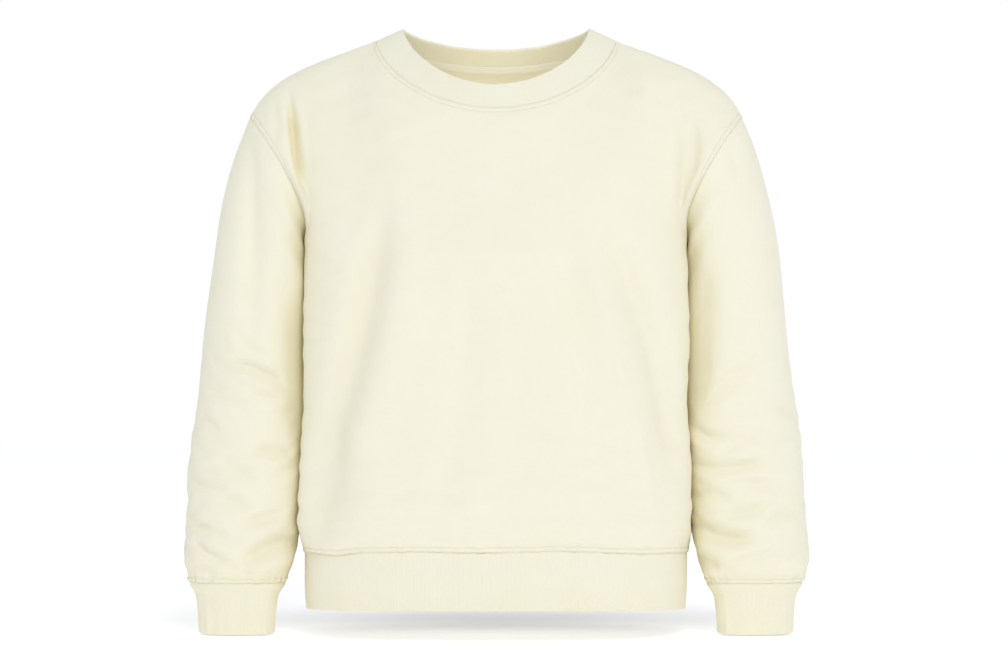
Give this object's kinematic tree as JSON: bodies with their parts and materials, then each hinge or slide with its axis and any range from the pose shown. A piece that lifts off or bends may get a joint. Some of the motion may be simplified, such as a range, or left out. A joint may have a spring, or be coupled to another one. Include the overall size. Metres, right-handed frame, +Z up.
{
  "type": "crewneck sweatshirt",
  "caption": "Hollow long-sleeved crewneck sweatshirt, filled out as when worn, with ribbed neckband, cuffs and hem band and sleeves hanging beside the body.",
  "frame": {"origin": "midway between the two points where the shoulder seams meet the neck seam, where the wearer's shoulders hold the garment up", "axes": "+X towards the garment's side that is on the right as its front is seen, +Y from front to back, +Z up; the front faces -Y"},
  "size_m": [0.6836, 0.2316, 0.6626],
  "materials": {
    "fleece": "pale butter-yellow fleece-backed cotton jersey, matt",
    "rib_knit": "pale butter-yellow rib knit, matt",
    "tape": "cream cotton tape, matt"
  },
  "bodies": {
    "root": {"front_panel": "fleece", "back_panel": "fleece", "sleeve_left": "fleece", "sleeve_right": "fleece", "neck_rib": "rib_knit", "cuff_left": "rib_knit", "cuff_right": "rib_knit", "hem_rib": "rib_knit", "neck_tape": "tape"}
  },
  "joints": []
}
